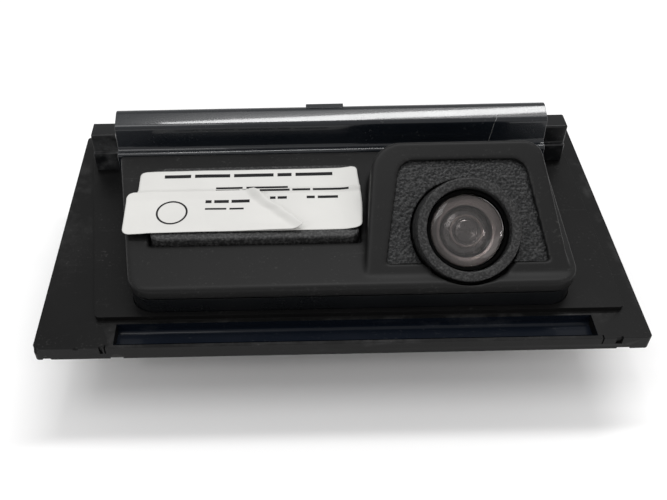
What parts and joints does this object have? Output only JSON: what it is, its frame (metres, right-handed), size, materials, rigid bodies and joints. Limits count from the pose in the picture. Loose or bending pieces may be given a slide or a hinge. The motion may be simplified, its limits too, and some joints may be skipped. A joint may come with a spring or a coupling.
{
  "type": "backup camera",
  "caption": "Tailgate unit: a reversing camera in a sloping hooded pod beside a sprung rubber release pad, with a raised grip ridge on a flat flange plate with studs behind.",
  "frame": {"origin": "middle of the flange plate on its seating face, which is also the middle of the four fixing studs", "axes": "+X along the plate, from the pad towards the camera; -Y towards the edge with the channel, the way the camera looks; +Z out of the tailgate"},
  "size_m": [0.15, 0.084, 0.0525],
  "materials": {
    "satin_shell": "satin moulded, fine grain",
    "gloss_shell": "polished moulded",
    "grained_shell": "coarse spark-eroded grain",
    "seal_foam": "closed-cell foam",
    "zinc_steel": "zinc plated",
    "connector_plastic": "moulded",
    "contact_brass": "bright",
    "spring_steel": "bright drawn wire",
    "pad_rubber": "fine pebble grain",
    "inner_plastic": "moulded",
    "plunger_plastic": "moulded",
    "board_green": "solder resist",
    "sensor_black": "chip",
    "lens_black": "blackened",
    "cone_metal": "bright turned",
    "lens_glass": "coated",
    "camera_alloy": "die-cast",
    "outlet_rubber": "moulded",
    "label_paper": "coated paper"
  },
  "bodies": {
    "housing": {"aperture_stop": "lens_black", "camera_board": "board_green", "camera_cap": "camera_alloy", "camera_case": "camera_alloy", "camera_cradle": "inner_plastic", "camera_outlet": "outlet_rubber", "camera_pod": "satin_shell", "camera_ring": "grained_shell", "cover_screws": "zinc_steel", "end_lug_left": "gloss_shell", "end_lug_right": "gloss_shell", "face_bezel": "satin_shell", "fixing_studs": "zinc_steel", "front_glass": "lens_glass", "grip_ridge": "gloss_shell", "housing_screws": "zinc_steel", "image_sensor": "sensor_black", "inner_lens": "lens_glass", "lens_barrel": "lens_black", "lens_cone": "cone_metal", "lower_housing": "satin_shell", "mounting_plate": "satin_shell", "pad_springs": "spring_steel", "perimeter_seal": "seal_foam", "pod_insert": "grained_shell", "rear_cover": "satin_shell", "rear_lens": "lens_glass", "ridge_screws": "zinc_steel", "socket_pins": "contact_brass", "socket_shell": "connector_plastic", "switch_board": "board_green", "switch_case": "inner_plastic", "switch_tray": "inner_plastic"},
    "pad": {"release_pad": "pad_rubber", "pad_carrier": "inner_plastic", "lower_label": "label_paper", "upper_label": "label_paper"},
    "plunger": {"switch_plunger": "plunger_plastic"}
  },
  "joints": [
    {"name": "pad_press", "type": "slide", "parent": "housing", "child": "pad", "axis": [0, 0, -1], "range_m": [0, 0.001], "stiffness_N_per_m": 1500, "springref_m": -0.002, "deforming": ["pad_springs"]},
    {"name": "plunger_slide", "type": "slide", "parent": "housing", "child": "plunger", "axis": [0, 0, -1], "range_m": [0, 0.001]}
  ],
  "couplings": [
    {"joint": "plunger_slide", "follows": "pad_press", "ratio": 1}
  ]
}
